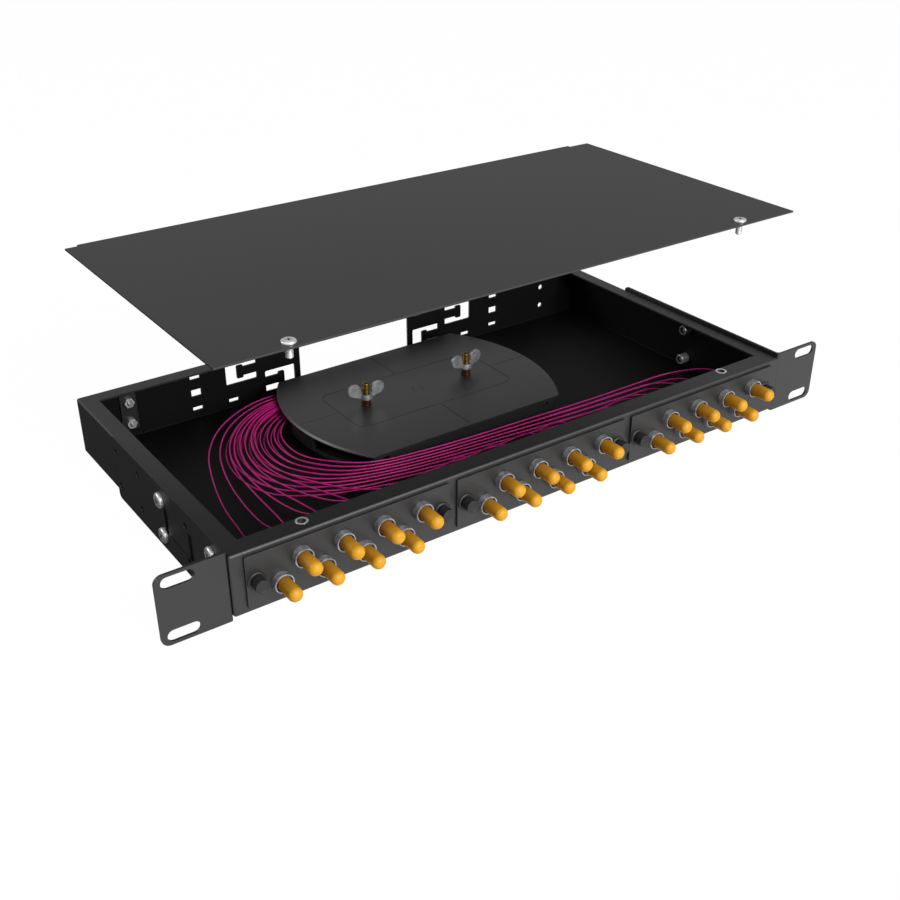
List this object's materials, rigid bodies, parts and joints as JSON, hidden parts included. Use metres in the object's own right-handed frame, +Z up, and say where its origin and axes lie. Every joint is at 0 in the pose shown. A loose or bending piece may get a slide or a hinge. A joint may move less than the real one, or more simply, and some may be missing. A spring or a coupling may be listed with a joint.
{
  "type": "fibre optic patch panel",
  "caption": "Rack-mount fibre patch panel: sheet-metal tray between two ears, capped round adapters in removable plates, splice tray on studs, and a lift-off cover.",
  "frame": {"origin": "centre of the four rack slots, on the rear face of the ears, which meets the rack rail", "axes": "+X to the right seen from the front, +Y towards the rear, +Z up"},
  "size_m": [0.4826, 0.2359, 0.1435],
  "materials": {
    "black_powder_coat": "fine-textured black powder coat on sheet steel",
    "zinc_steel": "bright zinc plate",
    "nickel_plate": "satin nickel plate",
    "ceramic_white": "white zirconia ceramic",
    "black_plastic": "moulded black plastic",
    "black_boot": "soft black boot",
    "brass": "plain turned brass",
    "magenta_fibre_jacket": "0.9 mm tight-buffered fibre jacket",
    "clear_sleeve": "shrunk clear splice protector",
    "amber_vinyl": "dip-moulded amber vinyl"
  },
  "bodies": {
    "panel": {"chassis_tray": "black_powder_coat", "rack_ear_left": "black_powder_coat", "rack_ear_right": "black_powder_coat", "cable_clamp": "black_powder_coat", "adapter_plate_left": "black_powder_coat", "adapter_plate_centre": "black_powder_coat", "adapter_plate_right": "black_powder_coat", "ear_screws": "zinc_steel", "ear_rivet_nuts": "zinc_steel", "cover_rivet_nuts": "zinc_steel", "cable_clamp_screws": "zinc_steel", "cable_clamp_nuts": "zinc_steel", "adapter_lock_nuts": "nickel_plate", "adapter_bodies": "nickel_plate", "connector_bodies": "nickel_plate", "alignment_sleeves": "ceramic_white", "plunger_grommets": "black_plastic", "splice_tray_base": "black_plastic", "splice_holder": "black_plastic", "connector_boots": "black_boot", "splice_tray_studs": "brass", "pigtails": "magenta_fibre_jacket", "splice_protectors": "clear_sleeve"},
    "cover": {"cover_plate": "black_powder_coat"},
    "cover_screw_left": {"cover_screw_left": "zinc_steel"},
    "cover_screw_right": {"cover_screw_right": "zinc_steel"},
    "splice_lid": {"splice_tray_lid": "black_plastic", "stud_collars": "brass"},
    "wing_nut_left": {"wing_nut_left": "zinc_steel"},
    "wing_nut_right": {"wing_nut_right": "zinc_steel"},
    "plunger_1": {"plunger_1": "black_plastic"},
    "plunger_2": {"plunger_2": "black_plastic"},
    "plunger_3": {"plunger_3": "black_plastic"},
    "plunger_4": {"plunger_4": "black_plastic"},
    "plunger_5": {"plunger_5": "black_plastic"},
    "plunger_6": {"plunger_6": "black_plastic"},
    "dust_cap_01": {"dust_cap_01": "amber_vinyl"},
    "dust_cap_02": {"dust_cap_02": "amber_vinyl"},
    "dust_cap_03": {"dust_cap_03": "amber_vinyl"},
    "dust_cap_04": {"dust_cap_04": "amber_vinyl"},
    "dust_cap_05": {"dust_cap_05": "amber_vinyl"},
    "dust_cap_06": {"dust_cap_06": "amber_vinyl"},
    "dust_cap_07": {"dust_cap_07": "amber_vinyl"},
    "dust_cap_08": {"dust_cap_08": "amber_vinyl"},
    "dust_cap_09": {"dust_cap_09": "amber_vinyl"},
    "dust_cap_10": {"dust_cap_10": "amber_vinyl"},
    "dust_cap_11": {"dust_cap_11": "amber_vinyl"},
    "dust_cap_12": {"dust_cap_12": "amber_vinyl"},
    "dust_cap_13": {"dust_cap_13": "amber_vinyl"},
    "dust_cap_14": {"dust_cap_14": "amber_vinyl"},
    "dust_cap_15": {"dust_cap_15": "amber_vinyl"},
    "dust_cap_16": {"dust_cap_16": "amber_vinyl"},
    "dust_cap_17": {"dust_cap_17": "amber_vinyl"},
    "dust_cap_18": {"dust_cap_18": "amber_vinyl"},
    "dust_cap_19": {"dust_cap_19": "amber_vinyl"},
    "dust_cap_20": {"dust_cap_20": "amber_vinyl"},
    "dust_cap_21": {"dust_cap_21": "amber_vinyl"},
    "dust_cap_22": {"dust_cap_22": "amber_vinyl"},
    "dust_cap_23": {"dust_cap_23": "amber_vinyl"},
    "dust_cap_24": {"dust_cap_24": "amber_vinyl"}
  },
  "joints": [
    {"name": "cover_lift", "type": "slide", "parent": "panel", "child": "cover", "axis": [0, 0, 1], "range_m": [-0.10035, 0]},
    {"name": "cover_screw_left_turn", "type": "hinge", "parent": "cover", "child": "cover_screw_left", "pos_m": [-0.15585, 0.00602, 0.12], "axis": [0, 0, 1], "continuous": true},
    {"name": "cover_screw_right_turn", "type": "hinge", "parent": "cover", "child": "cover_screw_right", "pos_m": [0.15585, 0.00602, 0.12], "axis": [0, 0, 1], "continuous": true},
    {"name": "splice_lid_lift", "type": "slide", "parent": "panel", "child": "splice_lid", "axis": [0, 0, 1], "range_m": [0, 0.06]},
    {"name": "wing_nut_left_turn", "type": "hinge", "parent": "splice_lid", "child": "wing_nut_left", "pos_m": [-0.04, 0.1303, 0.006], "axis": [0, 0, 1], "continuous": true},
    {"name": "wing_nut_right_turn", "type": "hinge", "parent": "splice_lid", "child": "wing_nut_right", "pos_m": [0.04, 0.1303, 0.006], "axis": [0, 0, 1], "continuous": true},
    {"name": "plunger_1_pull", "type": "slide", "parent": "panel", "child": "plunger_1", "axis": [0, -1, 0], "range_m": [0, 0.004]},
    {"name": "plunger_2_pull", "type": "slide", "parent": "panel", "child": "plunger_2", "axis": [0, -1, 0], "range_m": [0, 0.004]},
    {"name": "plunger_3_pull", "type": "slide", "parent": "panel", "child": "plunger_3", "axis": [0, -1, 0], "range_m": [0, 0.004]},
    {"name": "plunger_4_pull", "type": "slide", "parent": "panel", "child": "plunger_4", "axis": [0, -1, 0], "range_m": [0, 0.004]},
    {"name": "plunger_5_pull", "type": "slide", "parent": "panel", "child": "plunger_5", "axis": [0, -1, 0], "range_m": [0, 0.004]},
    {"name": "plunger_6_pull", "type": "slide", "parent": "panel", "child": "plunger_6", "axis": [0, -1, 0], "range_m": [0, 0.004]},
    {"name": "dust_cap_01_pull", "type": "slide", "parent": "panel", "child": "dust_cap_01", "axis": [0, -1, 0], "range_m": [0, 0.018]},
    {"name": "dust_cap_02_pull", "type": "slide", "parent": "panel", "child": "dust_cap_02", "axis": [0, -1, 0], "range_m": [0, 0.018]},
    {"name": "dust_cap_03_pull", "type": "slide", "parent": "panel", "child": "dust_cap_03", "axis": [0, -1, 0], "range_m": [0, 0.018]},
    {"name": "dust_cap_04_pull", "type": "slide", "parent": "panel", "child": "dust_cap_04", "axis": [0, -1, 0], "range_m": [0, 0.018]},
    {"name": "dust_cap_05_pull", "type": "slide", "parent": "panel", "child": "dust_cap_05", "axis": [0, -1, 0], "range_m": [0, 0.018]},
    {"name": "dust_cap_06_pull", "type": "slide", "parent": "panel", "child": "dust_cap_06", "axis": [0, -1, 0], "range_m": [0, 0.018]},
    {"name": "dust_cap_07_pull", "type": "slide", "parent": "panel", "child": "dust_cap_07", "axis": [0, -1, 0], "range_m": [0, 0.018]},
    {"name": "dust_cap_08_pull", "type": "slide", "parent": "panel", "child": "dust_cap_08", "axis": [0, -1, 0], "range_m": [0, 0.018]},
    {"name": "dust_cap_09_pull", "type": "slide", "parent": "panel", "child": "dust_cap_09", "axis": [0, -1, 0], "range_m": [0, 0.018]},
    {"name": "dust_cap_10_pull", "type": "slide", "parent": "panel", "child": "dust_cap_10", "axis": [0, -1, 0], "range_m": [0, 0.018]},
    {"name": "dust_cap_11_pull", "type": "slide", "parent": "panel", "child": "dust_cap_11", "axis": [0, -1, 0], "range_m": [0, 0.018]},
    {"name": "dust_cap_12_pull", "type": "slide", "parent": "panel", "child": "dust_cap_12", "axis": [0, -1, 0], "range_m": [0, 0.018]},
    {"name": "dust_cap_13_pull", "type": "slide", "parent": "panel", "child": "dust_cap_13", "axis": [0, -1, 0], "range_m": [0, 0.018]},
    {"name": "dust_cap_14_pull", "type": "slide", "parent": "panel", "child": "dust_cap_14", "axis": [0, -1, 0], "range_m": [0, 0.018]},
    {"name": "dust_cap_15_pull", "type": "slide", "parent": "panel", "child": "dust_cap_15", "axis": [0, -1, 0], "range_m": [0, 0.018]},
    {"name": "dust_cap_16_pull", "type": "slide", "parent": "panel", "child": "dust_cap_16", "axis": [0, -1, 0], "range_m": [0, 0.018]},
    {"name": "dust_cap_17_pull", "type": "slide", "parent": "panel", "child": "dust_cap_17", "axis": [0, -1, 0], "range_m": [0, 0.018]},
    {"name": "dust_cap_18_pull", "type": "slide", "parent": "panel", "child": "dust_cap_18", "axis": [0, -1, 0], "range_m": [0, 0.018]},
    {"name": "dust_cap_19_pull", "type": "slide", "parent": "panel", "child": "dust_cap_19", "axis": [0, -1, 0], "range_m": [0, 0.018]},
    {"name": "dust_cap_20_pull", "type": "slide", "parent": "panel", "child": "dust_cap_20", "axis": [0, -1, 0], "range_m": [0, 0.018]},
    {"name": "dust_cap_21_pull", "type": "slide", "parent": "panel", "child": "dust_cap_21", "axis": [0, -1, 0], "range_m": [0, 0.018]},
    {"name": "dust_cap_22_pull", "type": "slide", "parent": "panel", "child": "dust_cap_22", "axis": [0, -1, 0], "range_m": [0, 0.018]},
    {"name": "dust_cap_23_pull", "type": "slide", "parent": "panel", "child": "dust_cap_23", "axis": [0, -1, 0], "range_m": [0, 0.018]},
    {"name": "dust_cap_24_pull", "type": "slide", "parent": "panel", "child": "dust_cap_24", "axis": [0, -1, 0], "range_m": [0, 0.018]}
  ]
}
